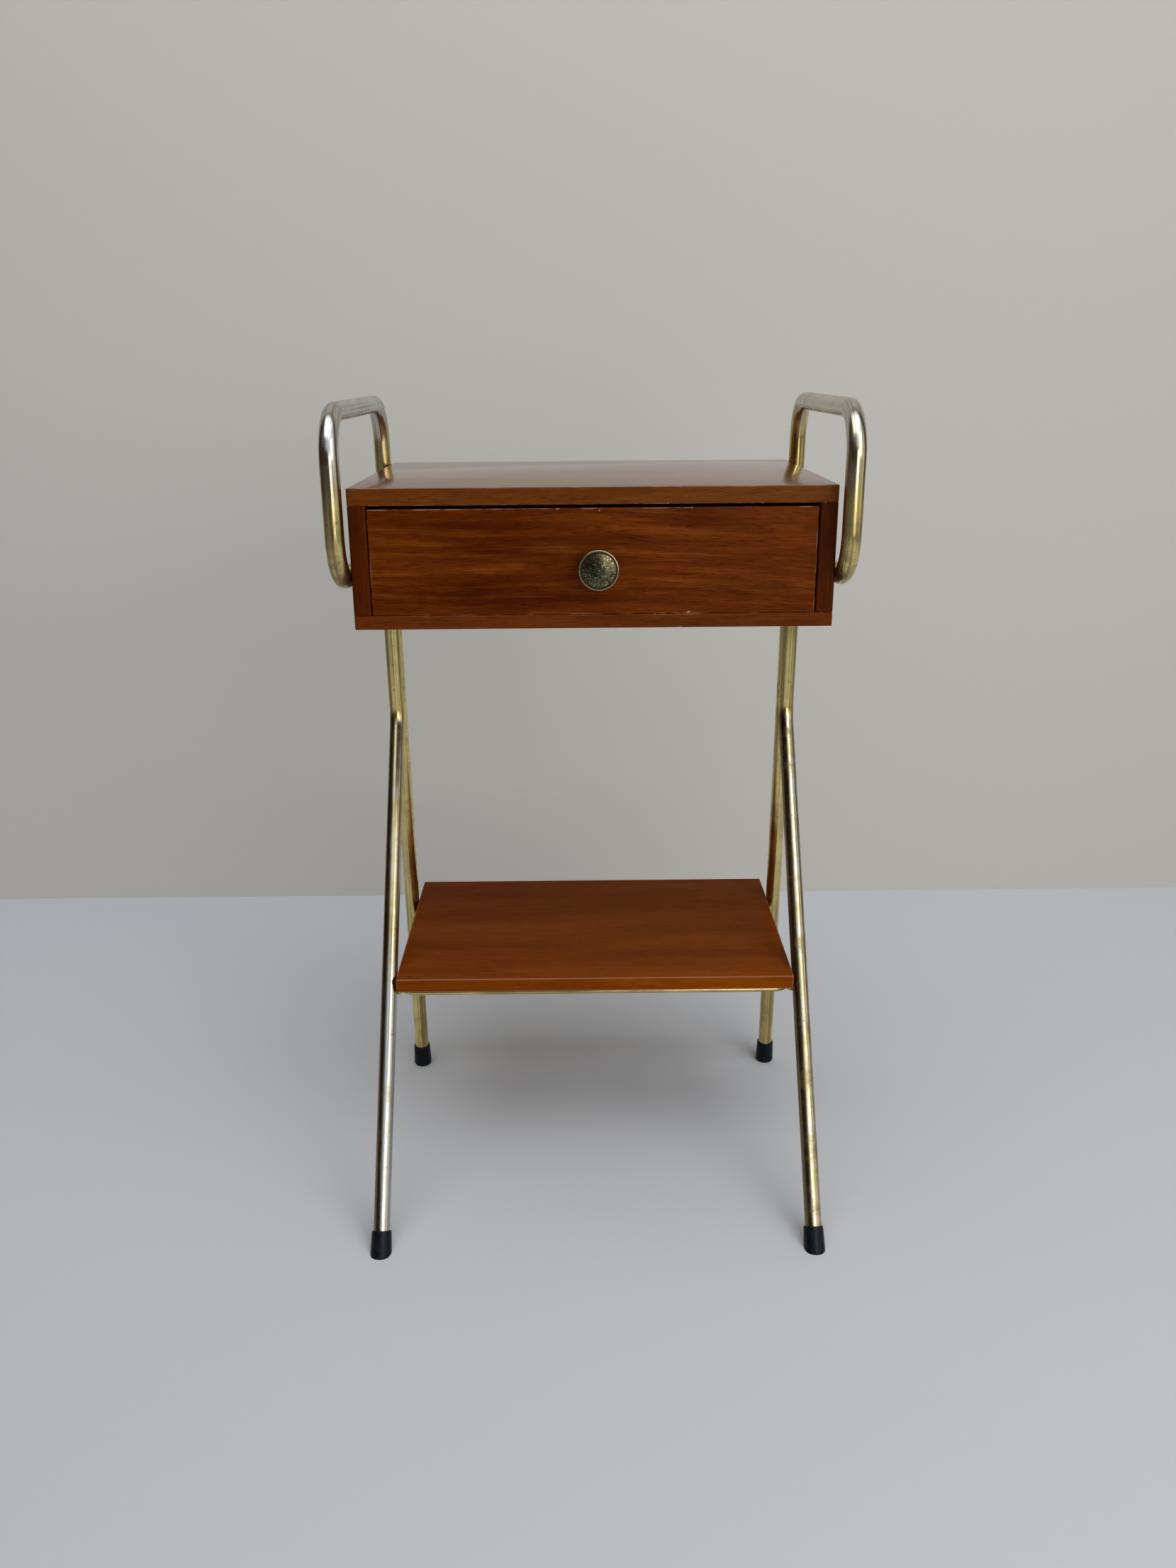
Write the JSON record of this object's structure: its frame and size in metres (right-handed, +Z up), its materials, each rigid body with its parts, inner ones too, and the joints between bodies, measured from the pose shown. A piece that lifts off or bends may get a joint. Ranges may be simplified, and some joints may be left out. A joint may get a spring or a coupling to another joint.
{
  "type": "bedside table",
  "caption": "Wooden bedside table with a drawer and a lower shelf, hung between bent brass tube side frames that loop up as carrying handles.",
  "frame": {"origin": "on the floor, under the middle of the table's overall box", "axes": "+X to the right as seen from the drawer's side, +Y to the back, +Z up"},
  "size_m": [0.4152, 0.3698, 0.7385],
  "materials": {
    "mahogany": "satin varnish over reddish brown mahogany",
    "beech": "bare pale wood",
    "plywood": "bare plywood",
    "brass": "worn and stained brass tube",
    "knob_brass": "darkened brass with a bright rim",
    "braze": "dull brazed joint",
    "screw_brass": "darkened brass screws",
    "steel": "plain steel",
    "rubber": "matt black rubber"
  },
  "bodies": {
    "table": {"top_panel": "mahogany", "base_panel": "mahogany", "left_side_panel": "mahogany", "right_side_panel": "mahogany", "back_panel": "plywood", "case_dowels": "beech", "left_drawer_guide": "beech", "right_drawer_guide": "beech", "drawer_stops": "beech", "left_side_frame": "brass", "right_side_frame": "brass", "waist_brazes": "braze", "case_screws": "screw_brass", "shelf": "mahogany", "shelf_pins": "steel", "shelf_rod": "brass", "rod_brazes": "braze", "front_left_foot": "rubber", "front_right_foot": "rubber", "rear_left_foot": "rubber", "rear_right_foot": "rubber"},
    "drawer": {"drawer_front": "mahogany", "drawer_left_side": "beech", "drawer_right_side": "beech", "drawer_back": "beech", "drawer_bottom": "plywood", "drawer_knob": "knob_brass", "knob_screw": "steel", "knob_washer": "steel"}
  },
  "joints": [
    {"name": "drawer_slide", "type": "slide", "parent": "table", "child": "drawer", "axis": [0, -1, 0], "range_m": [0, 0.19]}
  ]
}
